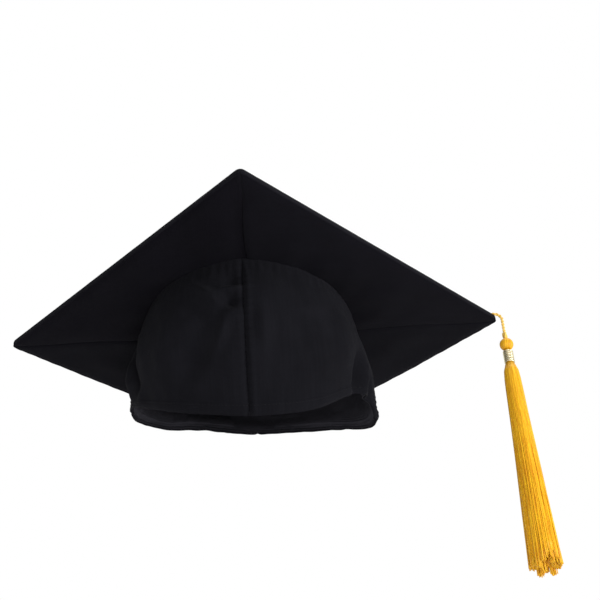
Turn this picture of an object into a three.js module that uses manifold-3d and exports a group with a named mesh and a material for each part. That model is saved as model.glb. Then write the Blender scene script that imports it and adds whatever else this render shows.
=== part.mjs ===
// Graduation cap: a fabric-covered square board on a soft skullcap, with a tassel looped round its button.
// Units are millimetres, +Z is up. The origin is the middle of the board's underside, where a head bears.
// The front corner points to -Y and the tassel hangs from the +X corner.
import * as THREE from 'three';
import { mergeVertices } from 'three/addons/utils/BufferGeometryUtils.js';
import Module from 'manifold-3d';

const wasm = await Module();
wasm.setup();

// Driving dimensions
const GAP = 0.3;
const BOARD_SIDE = 241.3;
const HALF_DIAGONAL = BOARD_SIDE / Math.SQRT2;
const CORNER_RADIUS = 5;
const COVER = 0.7;
const STIFFENER = 2.4;
const CURL_START = 50;
const CURL_RISE = 15;

const STIFFENER_Z = COVER + GAP;
const COVER_Z = STIFFENER_Z + STIFFENER + GAP;
const BOARD_TOP = COVER_Z + COVER;

// Skullcap rings: half width, front and back places, and the heights there
const CROWN_WALL = 1.6;
const SEAM_ANGLE = 0.15;
const JOIN = { half: 72, front: -88.5, back: 86, zFront: -GAP, zBack: -GAP, power: 1 };
const BELLY = { half: 80, front: -84, back: 83, zFront: -50, zBack: -22, power: 1.2 };
const HEM = { half: 80, front: -59, back: 72, zFront: -97.3, zBack: -40.5, power: 1.7 };
const SEAM_GAP = 0.4;

// Button and its fastening
const BUTTON_RADIUS = 9.5;
const BUTTON_Z = BOARD_TOP + 2.2;
const BUTTON_HEIGHT = 6;
const SHANK_RADIUS = 1.6;
const WASHER_RADIUS = 6;
const RECESS_DEPTH = 1.5;
const PLATE_THICKNESS = 0.8;
const WASHER_THICKNESS = 0.5;
const CLINCH_THICKNESS = 0.3;
const CLINCH_WIDER = 1;
const FOOT_RISE = 0.1;

// Tassel and its cord
const STRAND_RADIUS = 0.7;
const CORD_RADIUS = 1.1;
const LOOP_RADIUS = 4.5;
const JOINT_X = 112;
const BEND_RADIUS = 5.2;
const BEND_X = 168.3;
const DROP_X = BEND_X + BEND_RADIUS;
const CORD_Z = BOARD_TOP + GAP + CORD_RADIUS;
const SWING_Z = CORD_Z - BEND_RADIUS - CORD_RADIUS - GAP;
const DROP_LENGTH = 9;
const KNOT_HEIGHT = 5;
const KNOT_RADIUS = 1.9;
const BALL_RADIUS = 4.7;
const BALL_WALL = 1;
const BALL_MOUTH = 1.6;
const COLLAR_RADIUS = 3.6;
const COLLAR_HEIGHT = 10.5;
const COLLAR_TURNS = 8;
const COLLAR_WALL = 1.1;
const COLLAR_GROOVE = 0.35;
const SKIRT_LENGTH = 151;
const SKIRT_TOP_RADIUS = 5.4;
const SKIRT_END_RADIUS = 10.6;
const TUFTS = 12;
const TIP_TRIM = 2.5;
const TIP_TURN = 2.4;
const CORE_SHARE = 0.42;
const CORE_SHORTER = 6;

const COLOURS = {
  cloth: { color: 0x18181c, roughness: 0.95, metalness: 0 },
  lining: { color: 0x101014, roughness: 0.95, metalness: 0 },
  board: { color: 0x8a7656, roughness: 0.9, metalness: 0 },
  steel: { color: 0x9a9a9e, roughness: 0.4, metalness: 1 },
  elastic: { color: 0x202024, roughness: 0.9, metalness: 0 },
  gold: { color: 0xe8b02a, roughness: 0.55, metalness: 0 },
  core: { color: 0xc9a06a, roughness: 0.7, metalness: 0 },
  wire: { color: 0xcfc39a, roughness: 0.3, metalness: 1 },
};

const cap = new THREE.Group();

function addMesh(name, geometry, look) {
  const mesh = new THREE.Mesh(geometry, new THREE.MeshStandardMaterial(COLOURS[look]));
  mesh.name = name;
  cap.add(mesh);
  return mesh;
}

// Closed solids and booleans

function signedVolume(points, faces) {
  let volume = 0;
  for (const [a, b, c] of faces) {
    volume += points[a].dot(new THREE.Vector3().crossVectors(points[b], points[c])) / 6;
  }
  return volume;
}

function solidFromFaces(points, faces) {
  const outward = signedVolume(points, faces) > 0;
  const geometry = new THREE.BufferGeometry();
  const index = faces.flatMap(([a, b, c]) => (outward ? [a, b, c] : [a, c, b]));
  geometry.setAttribute('position', new THREE.Float32BufferAttribute(points.flatMap((p) => p.toArray()), 3));
  geometry.setIndex(index);
  return geometry;
}

function toManifold(geometry) {
  const bare = geometry.clone();
  bare.deleteAttribute('normal');
  bare.deleteAttribute('uv');
  const merged = mergeVertices(bare, 1e-4);
  const mesh = new wasm.Mesh({
    numProp: 3,
    vertProperties: Float32Array.from(merged.attributes.position.array),
    triVerts: Uint32Array.from(merged.index.array),
  });
  return new wasm.Manifold(mesh);
}

function fromManifold(manifold) {
  const mesh = manifold.getMesh();
  const geometry = new THREE.BufferGeometry();
  geometry.setAttribute('position', new THREE.Float32BufferAttribute(Array.from(mesh.vertProperties), 3));
  geometry.setIndex(Array.from(mesh.triVerts));
  return geometry;
}

// A wall between two grids of points: rows run along it, columns go up it
function wallSolid(outer, inner, closed = false) {
  const rows = outer.length;
  const columns = outer[0].length;
  const points = [...outer.flat(), ...inner.flat()];
  const at = (side, r, c) => side * rows * columns + (r % rows) * columns + c;
  const faces = [];
  const quad = (a, b, c, d) => faces.push([a, b, c], [a, c, d]);
  const spans = closed ? rows : rows - 1;
  for (let r = 0; r < spans; r += 1) {
    for (let c = 0; c < columns - 1; c += 1) {
      quad(at(0, r, c), at(0, r + 1, c), at(0, r + 1, c + 1), at(0, r, c + 1));
      quad(at(1, r, c), at(1, r, c + 1), at(1, r + 1, c + 1), at(1, r + 1, c));
    }
    quad(at(0, r, 0), at(1, r, 0), at(1, r + 1, 0), at(0, r + 1, 0));
    const top = columns - 1;
    quad(at(0, r, top), at(0, r + 1, top), at(1, r + 1, top), at(1, r, top));
  }
  if (!closed) {
    const last = rows - 1;
    for (let c = 0; c < columns - 1; c += 1) {
      quad(at(0, 0, c), at(0, 0, c + 1), at(1, 0, c + 1), at(1, 0, c));
      quad(at(0, last, c), at(1, last, c), at(1, last, c + 1), at(0, last, c + 1));
    }
  }
  return solidFromFaces(points, faces);
}

// A stack of closed rings with the same number of points, capped at both ends
function stackSolid(rings) {
  const count = rings[0].length;
  const points = rings.flat();
  const faces = [];
  for (let r = 0; r < rings.length - 1; r += 1) {
    for (let i = 0; i < count; i += 1) {
      const a = r * count + i;
      const b = r * count + ((i + 1) % count);
      faces.push([a, b, b + count], [a, b + count, a + count]);
    }
  }
  const last = (rings.length - 1) * count;
  for (let i = 1; i < count - 1; i += 1) {
    faces.push([0, i + 1, i], [last, last + i, last + i + 1]);
  }
  return solidFromFaces(points, faces);
}

// A turned solid; its profile runs from radius to height, in either direction
function turned(profile, segments = 20) {
  const points = profile.map(([r, z]) => new THREE.Vector2(r, z));
  if (THREE.ShapeUtils.area(points) < 0) points.reverse();
  const geometry = new THREE.LatheGeometry(points, segments);
  geometry.rotateX(Math.PI / 2);
  return geometry;
}

function ringSection(radius, sides = 8) {
  const shape = new THREE.Shape();
  for (let i = 0; i < sides; i += 1) {
    const angle = (2 * Math.PI * i) / sides;
    const x = radius * Math.cos(angle);
    const y = radius * Math.sin(angle);
    if (i === 0) shape.moveTo(x, y);
    else shape.lineTo(x, y);
  }
  shape.closePath();
  return shape;
}

function tube(points, radius, steps) {
  const path = new THREE.CatmullRomCurve3(points, false, 'centripetal');
  return new THREE.ExtrudeGeometry(ringSection(radius), { steps, extrudePath: path, curveSegments: 1 });
}

// Board layers: square in plan with rounded corners, flat in front and gently curled up at the back corner

function curl(y) {
  const reach = Math.max(0, y - CURL_START) / (HALF_DIAGONAL - CURL_START);
  return CURL_RISE * reach * reach;
}

function layerBlock(bottom, top) {
  const cells = 10;
  const reach = HALF_DIAGONAL + 4;
  const sheet = (z) => {
    const rows = [];
    for (let i = 0; i <= cells + 1; i += 1) {
      const y = i === 0 ? -reach : CURL_START + ((reach - CURL_START) * (i - 1)) / cells;
      rows.push([new THREE.Vector3(-reach, y, z + curl(y)), new THREE.Vector3(reach, y, z + curl(y))]);
    }
    return rows;
  };
  return toManifold(wallSolid(sheet(top), sheet(bottom)));
}

function squareShape(inset) {
  const side = BOARD_SIDE / 2 - inset;
  const round = Math.max(1, CORNER_RADIUS - inset);
  const corners = [[1, 1], [-1, 1], [-1, -1], [1, -1]];
  const shape = new THREE.Shape();
  const steps = 5;
  corners.forEach(([sx, sy], k) => {
    for (let i = 0; i <= steps; i += 1) {
      const angle = (Math.PI / 2) * (k + i / steps);
      const u = sx * (side - round) + round * Math.cos(angle);
      const v = sy * (side - round) + round * Math.sin(angle);
      const x = (u - v) / Math.SQRT2;
      const y = (u + v) / Math.SQRT2;
      if (k === 0 && i === 0) shape.moveTo(x, y);
      else shape.lineTo(x, y);
    }
  });
  shape.closePath();
  return shape;
}

function prism(shape, bottom, top) {
  const geometry = new THREE.ExtrudeGeometry(shape, { depth: top - bottom, bevelEnabled: false });
  geometry.translate(0, 0, bottom);
  return toManifold(geometry);
}

function drill(radius, bottom, top) {
  const geometry = new THREE.CylinderGeometry(radius, radius, top - bottom, 16);
  geometry.rotateX(Math.PI / 2);
  geometry.translate(0, 0, (bottom + top) / 2);
  return toManifold(geometry);
}

function boardLayer(inset, bottom, top) {
  return layerBlock(bottom, top).intersect(prism(squareShape(inset), -20, 40));
}

function buildBoard() {
  const shankHole = drill(SHANK_RADIUS + GAP, -1, BOARD_TOP + 1);
  const recess = drill(WASHER_RADIUS + GAP, STIFFENER_Z - 1, STIFFENER_Z + RECESS_DEPTH);
  const hollow = boardLayer(COVER, -1, COVER_Z);
  const cover = boardLayer(0, STIFFENER_Z, BOARD_TOP).subtract(hollow).subtract(shankHole);
  const stiffener = boardLayer(COVER + GAP, STIFFENER_Z, STIFFENER_Z + STIFFENER);
  addMesh('stiffener_board', fromManifold(stiffener.subtract(shankHole).subtract(recess)), 'board');
  addMesh('top_cover', fromManifold(cover), 'cloth');
}

// The underside is sewn from four triangular gores that meet on the diagonals
function buildGores() {
  const layer = boardLayer(0, 0, COVER);
  const quarters = { front_right: [1, -1], front_left: [-1, -1], back_left: [-1, 1], back_right: [1, 1] };
  const far = 2 * HALF_DIAGONAL;
  const edge = SEAM_GAP / 2;
  for (const [place, [sx, sy]] of Object.entries(quarters)) {
    const shape = new THREE.Shape();
    shape.moveTo(sx * edge, sy * edge);
    shape.lineTo(sx * far, sy * edge);
    shape.lineTo(sx * edge, sy * far);
    shape.closePath();
    addMesh(`underside_gore_${place}`, fromManifold(layer.intersect(prism(shape, -20, 40))), 'cloth');
  }
}

// Skullcap: a soft wall that follows three rings, from the join under the board to the hem

function ringPoint(ring, angle, inset) {
  const middle = (ring.front + ring.back) / 2;
  const reach = (ring.back - ring.front) / 2 - inset;
  const towardsFront = ((1 + Math.cos(angle)) / 2) ** ring.power;
  return new THREE.Vector3(
    (ring.half - inset) * Math.sin(angle),
    middle - reach * Math.cos(angle),
    ring.zBack + (ring.zFront - ring.zBack) * towardsFront,
  );
}

function crownPoint(angle, down, inset) {
  const weights = [2 * (down - 0.5) * (down - 1), -4 * down * (down - 1), 2 * down * (down - 0.5)];
  const point = new THREE.Vector3();
  [JOIN, BELLY, HEM].forEach((ring, i) => point.addScaledVector(ringPoint(ring, angle, inset), weights[i]));
  return point;
}

function crownWall(from, to, spans, top, bottom, levels, inset, thickness, closed = false) {
  const grid = (depth) => {
    const rows = [];
    for (let r = 0; r < (closed ? spans : spans + 1); r += 1) {
      const angle = THREE.MathUtils.degToRad(from + ((to - from) * r) / spans);
      const column = [];
      for (let c = 0; c <= levels; c += 1) {
        column.push(crownPoint(angle, top + ((bottom - top) * c) / levels, depth));
      }
      rows.push(column);
    }
    return rows;
  };
  return wallSolid(grid(inset), grid(inset + thickness), closed);
}

function buildCrown() {
  const seam = SEAM_ANGLE;
  const panels = { front_right: 0, back_right: 90, back_left: 180, front_left: 270 };
  for (const [place, start] of Object.entries(panels)) {
    const wall = crownWall(start + seam, start + 90 - seam, 9, 0, 1, 6, 0, CROWN_WALL);
    addMesh(`crown_panel_${place}`, wall, 'cloth');
  }
  const inside = CROWN_WALL + 3 * GAP;
  addMesh('join_tape', crownWall(0, 360, 36, 0.02, 0.1, 1, inside, 0.7, true), 'lining');
  addMesh('front_hem_facing', crownWall(-85, 85, 18, 0.9, 0.995, 1, inside, 0.7), 'lining');
  addMesh('elastic_band', crownWall(95, 265, 18, 0.9, 0.98, 1, inside, 0.9), 'elastic');
  addMesh('elastic_casing', crownWall(95, 265, 18, 0.87, 0.995, 1, inside + 0.9 + 2 * GAP, 0.7), 'lining');
}

// Button: a covered dome on a post that passes through the board and is clinched over a washer

function dome(radius, height, base, shrink = 0) {
  const steps = 6;
  const points = [];
  for (let i = 0; i <= steps; i += 1) {
    const angle = (Math.PI / 2) * (i / steps);
    const r = i === steps ? 0 : (radius - shrink) * Math.cos(angle);
    points.push([r, base + (height - shrink) * Math.sin(angle)]);
  }
  return points;
}

function buildButton() {
  const outer = dome(BUTTON_RADIUS, BUTTON_HEIGHT, BUTTON_Z);
  const inner = dome(BUTTON_RADIUS, BUTTON_HEIGHT, BUTTON_Z, COVER).reverse();
  addMesh('button_cover', turned([...outer, ...inner, outer[0]], 24), 'cloth');
  const plateTop = BUTTON_Z + PLATE_THICKNESS;
  const plateRadius = BUTTON_RADIUS - COVER - 2 * GAP;
  const plateHole = SHANK_RADIUS + GAP;
  const plate = [[plateHole, BUTTON_Z], [plateRadius, BUTTON_Z], [plateRadius, plateTop], [plateHole, plateTop]];
  addMesh('button_back_plate', turned([...plate, plate[0]]), 'steel');
  const coreBase = plateTop + GAP;
  const coreHeight = BUTTON_HEIGHT - COVER - GAP - (coreBase - BUTTON_Z);
  const core = dome(BUTTON_RADIUS - COVER - 3 * GAP, coreHeight, coreBase);
  addMesh('button_core', turned([[0, coreBase], ...core]), 'core');
  const foot = STIFFENER_Z + FOOT_RISE;
  const clinch = SHANK_RADIUS + CLINCH_WIDER;
  const clinchTop = foot + CLINCH_THICKNESS;
  const shankTop = coreBase - GAP;
  const shank = [[0, foot], [clinch, foot], [clinch, clinchTop], [SHANK_RADIUS, clinchTop]];
  addMesh('button_shank', turned([...shank, [SHANK_RADIUS, shankTop], [0, shankTop]], 16), 'steel');
  const washerZ = clinchTop + GAP;
  const washerTop = washerZ + WASHER_THICKNESS;
  const hole = SHANK_RADIUS + GAP;
  const washer = [[hole, washerZ], [WASHER_RADIUS, washerZ], [WASHER_RADIUS, washerTop], [hole, washerTop]];
  addMesh('shank_washer', turned([...washer, washer[0]]), 'steel');
}

// The looped strand goes round the shank; both its ends meet the twisted cord

function buildLoop() {
  const z = BOARD_TOP + GAP + STRAND_RADIUS;
  const half = STRAND_RADIUS + GAP / 2;
  const points = [new THREE.Vector3(JOINT_X, half, z)];
  points.push(new THREE.Vector3(JOINT_X / 2, (half + LOOP_RADIUS) / 2, z));
  for (let i = 0; i <= 8; i += 1) {
    const angle = Math.PI * (0.5 + i / 8);
    points.push(new THREE.Vector3(LOOP_RADIUS * Math.cos(angle), LOOP_RADIUS * Math.sin(angle), z));
  }
  points.push(new THREE.Vector3(JOINT_X / 2, -(half + LOOP_RADIUS) / 2, z));
  points.push(new THREE.Vector3(JOINT_X, -half, z));
  addMesh('tassel_loop', tube(points, STRAND_RADIUS, 72), 'gold');
}

function buildCord() {
  const points = [new THREE.Vector3(JOINT_X + GAP, 0, CORD_Z)];
  points.push(new THREE.Vector3((JOINT_X + BEND_X) / 2, 0, CORD_Z));
  for (let i = 0; i <= 6; i += 1) {
    const angle = (Math.PI / 2) * (i / 6);
    const x = BEND_X + BEND_RADIUS * Math.sin(angle);
    points.push(new THREE.Vector3(x, 0, CORD_Z - BEND_RADIUS * (1 - Math.cos(angle))));
  }
  addMesh('board_cord', tube(points, CORD_RADIUS, 26), 'gold');
  const top = dome(CORD_RADIUS, CORD_RADIUS, 0);
  const drop = addMesh('drop_cord', turned([[0, -DROP_LENGTH], [CORD_RADIUS, -DROP_LENGTH], ...top], 10), 'gold');
  drop.position.set(DROP_X, 0, SWING_Z);
}

// Tassel: knot, covered head, wire-wound collar and a skirt of thread tufts, hung one below another

function oval(radius, height, steps = 8) {
  const points = [];
  for (let i = 0; i <= steps; i += 1) {
    const angle = Math.PI * (i / steps - 0.5);
    const r = i === 0 || i === steps ? 0 : radius * Math.cos(angle);
    points.push([r, height * Math.sin(angle)]);
  }
  return points;
}

function collarProfile() {
  const pitch = COLLAR_HEIGHT / COLLAR_TURNS;
  const inner = COLLAR_RADIUS - COLLAR_WALL;
  const groove = COLLAR_RADIUS - COLLAR_GROOVE;
  const points = [[inner, 0]];
  for (let i = 0; i < COLLAR_TURNS; i += 1) {
    points.push([groove, -i * pitch]);
    points.push([COLLAR_RADIUS, -(i + 0.5) * pitch]);
  }
  points.push([groove, -COLLAR_HEIGHT], [inner, -COLLAR_HEIGHT], [inner, 0]);
  return points;
}

function tuftRing(from, to, inner, outer, z) {
  const points = [];
  const steps = 3;
  for (let i = 0; i <= steps; i += 1) {
    const angle = from + ((to - from) * i) / steps;
    points.push(new THREE.Vector3(outer * Math.cos(angle), outer * Math.sin(angle), z));
  }
  points.push(new THREE.Vector3(inner * Math.cos(to), inner * Math.sin(to), z));
  points.push(new THREE.Vector3(inner * Math.cos(from), inner * Math.sin(from), z));
  return points;
}

function skirtRadius(down) {
  const shoulder = 1 - 0.28 * Math.exp(-down * 24);
  return (SKIRT_TOP_RADIUS + (SKIRT_END_RADIUS - SKIRT_TOP_RADIUS) * down ** 1.3) * shoulder;
}

function buildTassel() {
  const knotZ = SWING_Z - DROP_LENGTH - GAP - KNOT_HEIGHT / 2;
  const ballZ = knotZ - KNOT_HEIGHT / 2 - GAP - BALL_RADIUS;
  const collarZ = ballZ - BALL_RADIUS - GAP;
  const skirtZ = collarZ - COLLAR_HEIGHT - GAP;
  const place = (mesh, z) => mesh.position.set(DROP_X, 0, z);
  place(addMesh('cord_knot', turned(oval(KNOT_RADIUS, KNOT_HEIGHT / 2), 12), 'gold'), knotZ);

  const bead = BALL_RADIUS - BALL_WALL;
  const shell = oval(BALL_RADIUS, BALL_RADIUS, 10);
  const wallInner = Math.sqrt((bead + GAP) ** 2 - BALL_MOUTH ** 2);
  const outer = shell.filter(([r, z]) => r >= BALL_MOUTH || z > 0);
  const inner = oval(bead + GAP, bead + GAP, 10).filter(([r, z]) => r >= BALL_MOUTH || z > 0).reverse();
  const mouthOuter = Math.sqrt(BALL_RADIUS ** 2 - BALL_MOUTH ** 2);
  const cover = [[BALL_MOUTH, -mouthOuter], ...outer, ...inner, [BALL_MOUTH, -wallInner], [BALL_MOUTH, -mouthOuter]];
  place(addMesh('tassel_head', turned(cover, 20), 'gold'), ballZ);
  place(addMesh('head_bead', turned(oval(bead, bead), 12), 'core'), ballZ);

  place(addMesh('wire_collar', turned(collarProfile(), 18), 'wire'), collarZ);
  const neck = COLLAR_RADIUS - COLLAR_WALL - GAP;
  const neckEnd = -COLLAR_HEIGHT;
  place(addMesh('neck_bundle', turned([[0, neckEnd], [neck, neckEnd], [neck, 0], [0, 0]], 12), 'gold'), collarZ);

  const rows = 7;
  const step = (2 * Math.PI) / TUFTS;
  for (let k = 0; k < TUFTS; k += 1) {
    const trim = TIP_TRIM * Math.sin(TIP_TURN * k);
    const rings = [];
    for (let r = 0; r <= rows; r += 1) {
      const down = r / rows;
      const radius = skirtRadius(down);
      const half = step / 2 - Math.asin(GAP / (2 * radius * CORE_SHARE));
      const z = -down * (SKIRT_LENGTH - TIP_TRIM + trim);
      rings.push(tuftRing(k * step - half, k * step + half, radius * CORE_SHARE, radius, z));
    }
    place(addMesh(`skirt_tuft_${String(k + 1).padStart(2, '0')}`, stackSolid(rings), 'gold'), skirtZ);
  }
  const core = [[0, CORE_SHORTER - SKIRT_LENGTH]];
  for (let r = rows; r >= 0; r -= 1) {
    const down = r / rows;
    core.push([skirtRadius(down) * CORE_SHARE - 2 * GAP, down * (CORE_SHORTER - SKIRT_LENGTH)]);
  }
  place(addMesh('skirt_core', turned([...core, [0, 0]], 12), 'gold'), skirtZ);
}

buildBoard();
buildGores();
buildCrown();
buildButton();
buildLoop();
buildCord();
buildTassel();

export default cap;
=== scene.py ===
"""Graduation cap: cloth-covered board, soft skullcap and gold tassel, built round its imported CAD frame."""
import math

import bpy
import numpy as np
from mathutils import Matrix, Vector


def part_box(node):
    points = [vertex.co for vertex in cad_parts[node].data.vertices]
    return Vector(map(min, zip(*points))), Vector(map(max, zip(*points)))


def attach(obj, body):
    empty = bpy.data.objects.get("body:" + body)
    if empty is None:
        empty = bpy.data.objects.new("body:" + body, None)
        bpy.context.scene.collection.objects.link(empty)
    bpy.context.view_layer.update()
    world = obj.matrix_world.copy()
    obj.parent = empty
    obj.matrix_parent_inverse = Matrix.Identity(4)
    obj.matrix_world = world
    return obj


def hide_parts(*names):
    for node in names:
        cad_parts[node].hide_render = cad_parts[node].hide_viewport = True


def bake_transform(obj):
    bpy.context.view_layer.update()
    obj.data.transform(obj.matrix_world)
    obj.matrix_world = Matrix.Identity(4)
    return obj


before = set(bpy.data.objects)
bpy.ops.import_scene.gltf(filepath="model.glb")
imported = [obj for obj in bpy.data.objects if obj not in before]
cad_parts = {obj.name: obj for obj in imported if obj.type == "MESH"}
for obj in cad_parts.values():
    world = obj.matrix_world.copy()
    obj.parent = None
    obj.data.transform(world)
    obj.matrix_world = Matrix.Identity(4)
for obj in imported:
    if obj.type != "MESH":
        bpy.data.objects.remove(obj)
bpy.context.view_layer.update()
rng = np.random.default_rng(17)

MM = 0.001
TAU = 2 * math.pi

# Sizes that repeat the frame's, in millimetres like every length until MM scales it

GAP = 0.3
SIDE = 241.3
HALF_DIAGONAL = SIDE / math.sqrt(2)
CURL_START = 50.0
CURL_RISE = 15.0
CARD_THICKNESS = 2.4
COVER_THICKNESS = 0.7
STRAND_RADIUS = 0.7
CORD_RADIUS = 1.1
JOINT_X = 112.0
LOOP_RADIUS = 4.5
BEND_RADIUS = 5.2
BEND_X = 168.3
BALL_RADIUS = 4.7
COLLAR_RADIUS = 3.6
TUFT_COUNT = 12


def span(node_name, axis):
    """The lowest and highest place of a frame node along an axis."""
    low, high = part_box(node_name)
    return low[axis] / MM, high[axis] / MM


# Places taken from the frame

BOARD_TOP = span("underside_gore_front_left", 2)[1] + GAP + CARD_THICKNESS + GAP + COVER_THICKNESS
DROP_X = BEND_X + BEND_RADIUS
CORD_Z = BOARD_TOP + GAP + CORD_RADIUS
KNOT_Z = sum(span("cord_knot", 2)) / 2
BALL_Z = span("tassel_head", 2)[1] - BALL_RADIUS
COLLAR_END, COLLAR_TOP = span("wire_collar", 2)
SKIRT_TOP = span("skirt_core", 2)[1]
SKIRT_END = min(span(f"skirt_tuft_{k:02d}", 2)[0] for k in range(1, TUFT_COUNT + 1))

# Camera: its lens, its angles in degrees, and where it sees the board's middle (right, up and ahead of it)

SENSOR = 36.0
LENS = 72.0
AZIMUTH, ELEVATION, ROLL = -0.70, -35.36, -3.43
BOARD_IN_VIEW = Vector((-31.4, -23.6, 839.8)) * MM


def add_camera():
    a, e, r = (math.radians(v) for v in (AZIMUTH, ELEVATION, ROLL))
    ahead = Vector((-math.sin(a) * math.cos(e), math.cos(a) * math.cos(e), -math.sin(e)))
    level = Vector((math.cos(a), math.sin(a), 0))
    upright = level.cross(ahead)
    right = math.cos(r) * level + math.sin(r) * upright
    up = math.cos(r) * upright - math.sin(r) * level
    turn = Matrix((right, up, -ahead)).transposed()
    place = -(right * BOARD_IN_VIEW.x + up * BOARD_IN_VIEW.y + ahead * BOARD_IN_VIEW.z)
    data = bpy.data.cameras.new("camera")
    data.lens = LENS
    data.sensor_width = SENSOR
    camera = bpy.data.objects.new("camera", data)
    camera.matrix_world = Matrix.Translation(place) @ turn.to_4x4()
    bpy.context.collection.objects.link(camera)
    bpy.context.scene.camera = camera


add_camera()

# Materials


def new_material(name, color, roughness, metallic=0.0):
    material = bpy.data.materials.new(name)
    material.use_nodes = True
    shader = material.node_tree.nodes["Principled BSDF"]
    shader.inputs["Base Color"].default_value = (*color, 1)
    shader.inputs["Roughness"].default_value = roughness
    shader.inputs["Metallic"].default_value = metallic
    return material, shader


def node(owner, kind, **values):
    """A new node of a material or world, with its inputs and settings."""
    made = owner.node_tree.nodes.new(kind)
    for key, value in values.items():
        if key in made.inputs:
            made.inputs[key].default_value = value
        else:
            setattr(made, key, value)
    return made


def link(owner, out, into):
    owner.node_tree.links.new(out, into)


def noise(material, coordinates, scale, detail=3.0, roughness=0.5):
    made = node(material, "ShaderNodeTexNoise", Scale=scale, Detail=detail, Roughness=roughness)
    link(material, coordinates, made.inputs["Vector"])
    return made.outputs["Fac"]


def ramp(material, fac, low, high):
    """A colour between low and high; noise keeps to the middle of its range, so the ends are drawn in."""
    made = node(material, "ShaderNodeValToRGB")
    for stop, color, position in zip(made.color_ramp.elements, (low, high), (0.3, 0.7)):
        stop.color = (*color, 1)
        stop.position = position
    link(material, fac, made.inputs["Fac"])
    return made.outputs["Color"]


def bump(material, height, strength, distance, under=None):
    made = node(material, "ShaderNodeBump", Strength=strength, Distance=distance)
    link(material, height, made.inputs["Height"])
    if under is not None:
        link(material, under, made.inputs["Normal"])
    return made.outputs["Normal"]


def wave(material, coordinates, scale, direction, distortion):
    made = node(material, "ShaderNodeTexWave", Scale=scale, Distortion=distortion)
    made.bands_direction = direction
    link(material, coordinates, made.inputs["Vector"])
    return made.outputs["Fac"]


def mapped(material, coordinates, rotation=(0, 0, 0), scale=(1, 1, 1)):
    made = node(material, "ShaderNodeMapping", Rotation=rotation, Scale=scale)
    link(material, coordinates, made.inputs["Vector"])
    return made.outputs["Vector"]


def spread(material, fac, low, high):
    """A value from low to high as fac goes from 0 to 1."""
    made = node(material, "ShaderNodeMapRange")
    made.inputs["To Min"].default_value = low
    made.inputs["To Max"].default_value = high
    link(material, fac, made.inputs["Value"])
    return made.outputs["Result"]


def arithmetic(material, operation, *values):
    """A math node, whose values are numbers or other nodes' outputs."""
    made = node(material, "ShaderNodeMath", operation=operation)
    for socket, value in zip(made.inputs, values):
        if isinstance(value, float):
            socket.default_value = value
        else:
            link(material, value, socket)
    return made.outputs["Value"]


# Metres from band to band of a wave texture whose scale is 1
BAND_PERIOD = 0.314
WEFT_TO_WARP = 0.86
THREAD_WAVER = 0.6
SLUB_SCALE, SHADE_SCALE, STREAK_SCALE = 900, 22, 700
STREAK_STRETCH = (1, 0.04, 1)
STREAK_SHARE = 0.6
CLOTH_DARK, CLOTH_LIGHT = 0.72, 1.34


def cloth_material(name, color, turn=0.0, weave=0.00035, sheen=0.015):
    """Matt woven cloth: threads both ways, slubs, streaks and faint shade changes; its UVs are in metres."""
    material, shader = new_material(name, color, 0.88)
    shader.inputs["Specular IOR Level"].default_value = 0.03
    shader.inputs["Sheen Weight"].default_value = sheen
    shader.inputs["Sheen Roughness"].default_value = 0.5
    shader.inputs["Sheen Tint"].default_value = (0.75, 0.75, 0.85, 1)
    uv = node(material, "ShaderNodeUVMap", uv_map="cloth").outputs["UV"]
    flat = mapped(material, uv, rotation=(0, 0, turn))
    bands = BAND_PERIOD / weave
    warp = wave(material, flat, bands, "X", THREAD_WAVER)
    weft = wave(material, flat, bands * WEFT_TO_WARP, "Y", THREAD_WAVER)
    threads = arithmetic(material, "ADD", warp, weft)
    slubs = noise(material, flat, SLUB_SCALE, 2)
    shade = noise(material, flat, SHADE_SCALE, 4)
    streaks = noise(material, mapped(material, flat, scale=STREAK_STRETCH), STREAK_SCALE, 3, 0.7)
    both = arithmetic(material, "MULTIPLY_ADD", streaks, STREAK_SHARE, shade)
    tone = arithmetic(material, "MULTIPLY", both, 1 / (1 + STREAK_SHARE))
    dark = tuple(CLOTH_DARK * c for c in color)
    light = tuple(CLOTH_LIGHT * c for c in color)
    link(material, ramp(material, tone, dark, light), shader.inputs["Base Color"])
    link(material, spread(material, slubs, 0.8, 0.97), shader.inputs["Roughness"])
    woven = bump(material, threads, 0.5, 0.00012)
    link(material, bump(material, slubs, 0.35, 0.0002, woven), shader.inputs["Normal"])
    return material


def thread_material(name, low, high, roughness=0.42, sheen=0.07):
    """Shiny rayon: colour that varies from thread to thread, with fine fibres along it."""
    material, shader = new_material(name, high, roughness)
    shader.inputs["Specular IOR Level"].default_value = 0.1 + 2.5 * sheen
    shader.inputs["Sheen Weight"].default_value = sheen
    shader.inputs["Sheen Tint"].default_value = (1.0, 0.75, 0.2, 1)
    uv = node(material, "ShaderNodeUVMap", uv_map="cloth").outputs["UV"]
    tone = noise(material, uv, 60, 3, 0.6)
    link(material, ramp(material, tone, low, high), shader.inputs["Base Color"])
    fibres = wave(material, uv, 260, "DIAGONAL", 1.5)
    grain = noise(material, uv, 2600, 2)
    fibrous = bump(material, fibres, 0.15, 0.0001)
    link(material, bump(material, grain, 0.1, 0.0001, fibrous), shader.inputs["Normal"])
    return material


def solid_material(name, color, roughness, metallic=0.0, grain=900, streak=1.0):
    """Hard pieces: fine grain or brushing in the colour, roughness and surface."""
    material, shader = new_material(name, color, roughness, metallic)
    place = node(material, "ShaderNodeTexCoord").outputs["Object"]
    fac = noise(material, mapped(material, place, scale=(1, 1, streak)), grain, 4)
    low = tuple(0.8 * c for c in color)
    high = tuple(min(1, 1.15 * c) for c in color)
    link(material, ramp(material, fac, low, high), shader.inputs["Base Color"])
    rough = spread(material, fac, roughness * 0.8, min(1, roughness * 1.3))
    link(material, rough, shader.inputs["Roughness"])
    link(material, bump(material, fac, 0.2, 0.0001), shader.inputs["Normal"])
    return material


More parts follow.
